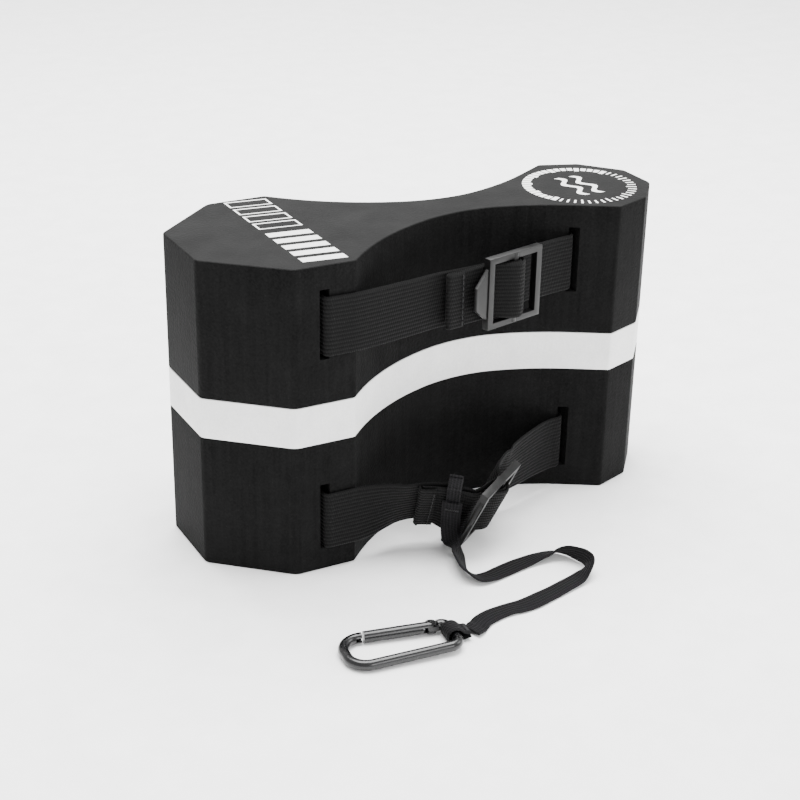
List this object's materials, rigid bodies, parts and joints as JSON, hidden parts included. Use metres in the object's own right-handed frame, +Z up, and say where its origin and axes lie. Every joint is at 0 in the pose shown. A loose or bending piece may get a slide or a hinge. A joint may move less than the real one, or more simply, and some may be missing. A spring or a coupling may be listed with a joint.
{
  "type": "pull buoy",
  "caption": "Contoured foam pull buoy with a wide and a narrow lobe, a light centre layer, adjustable webbing straps with slide buckles, and a webbing leash with a snap carabiner.",
  "frame": {"origin": "middle of the float's flat base, on the surface it stands on", "axes": "+X from the wide lobe to the narrow lobe, +Z up through the foam layers, -Y towards the side with the buckles and the leash"},
  "size_m": [0.261, 0.2034, 0.16],
  "materials": {
    "black_eva_foam": "fine closed-cell foam, matt",
    "white_eva_foam": "fine closed-cell foam, matt",
    "black_strap_webbing": "ribbed woven webbing",
    "black_leash_webbing": "flat woven webbing",
    "black_thread": "lock stitching",
    "black_gloss_plastic": "smooth moulded acetal",
    "black_anodised_aluminium": "glossy black anodised",
    "steel_pin": "plain",
    "steel_spring": "plain"
  },
  "bodies": {
    "float": {"upper_foam_block": "black_eva_foam", "centre_foam_layer": "white_eva_foam", "lower_foam_block": "black_eva_foam", "upper_strap_webbing": "black_strap_webbing", "upper_strap_end_stitching": "black_thread", "upper_strap_tail_stitching": "black_thread", "lower_strap_webbing": "black_strap_webbing", "lower_strap_end_stitching": "black_thread", "lower_strap_tail_stitching": "black_thread", "leash_strap_loop": "black_leash_webbing", "leash_webbing": "black_leash_webbing", "leash_carabiner_loop": "black_leash_webbing", "leash_upper_bar_tack": "black_thread", "leash_lower_bar_tack": "black_thread"},
    "upper_buckle": {"upper_buckle": "black_gloss_plastic"},
    "lower_buckle": {"lower_buckle": "black_gloss_plastic"},
    "carabiner": {"carabiner_body": "black_anodised_aluminium", "carabiner_nose_pin": "steel_pin", "gate_hinge_pin": "steel_pin"},
    "carabiner_gate": {"carabiner_gate": "black_anodised_aluminium", "gate_plunger": "steel_pin", "gate_spring": "steel_spring"}
  },
  "joints": [
    {"name": "upper_buckle_tilt", "type": "hinge", "parent": "float", "child": "upper_buckle", "pos_m": [0.0265, -0.0455, 0.1296], "axis": [0, 0, 1], "range_deg": [0, 12], "stiffness_Nm_per_rad": 0.02},
    {"name": "lower_buckle_tilt", "type": "hinge", "parent": "float", "child": "lower_buckle", "pos_m": [0.0076, -0.0622, 0.021], "axis": [0.1521, -0.4156, 0.8968], "range_deg": [0, 12], "stiffness_Nm_per_rad": 0.02},
    {"name": "carabiner_flip", "type": "hinge", "parent": "float", "child": "carabiner", "pos_m": [-0.0546, -0.1368, 0.0039], "axis": [0.1011, 0.9949, 0], "range_deg": [0, 100]},
    {"name": "gate_open", "type": "hinge", "parent": "carabiner", "child": "carabiner_gate", "pos_m": [-0.06131, -0.12768, 0.00373], "axis": [-0.0226, 0.0023, 0.9997], "range_deg": [0, 24], "stiffness_Nm_per_rad": 0.03, "springref_deg": -8.59}
  ]
}
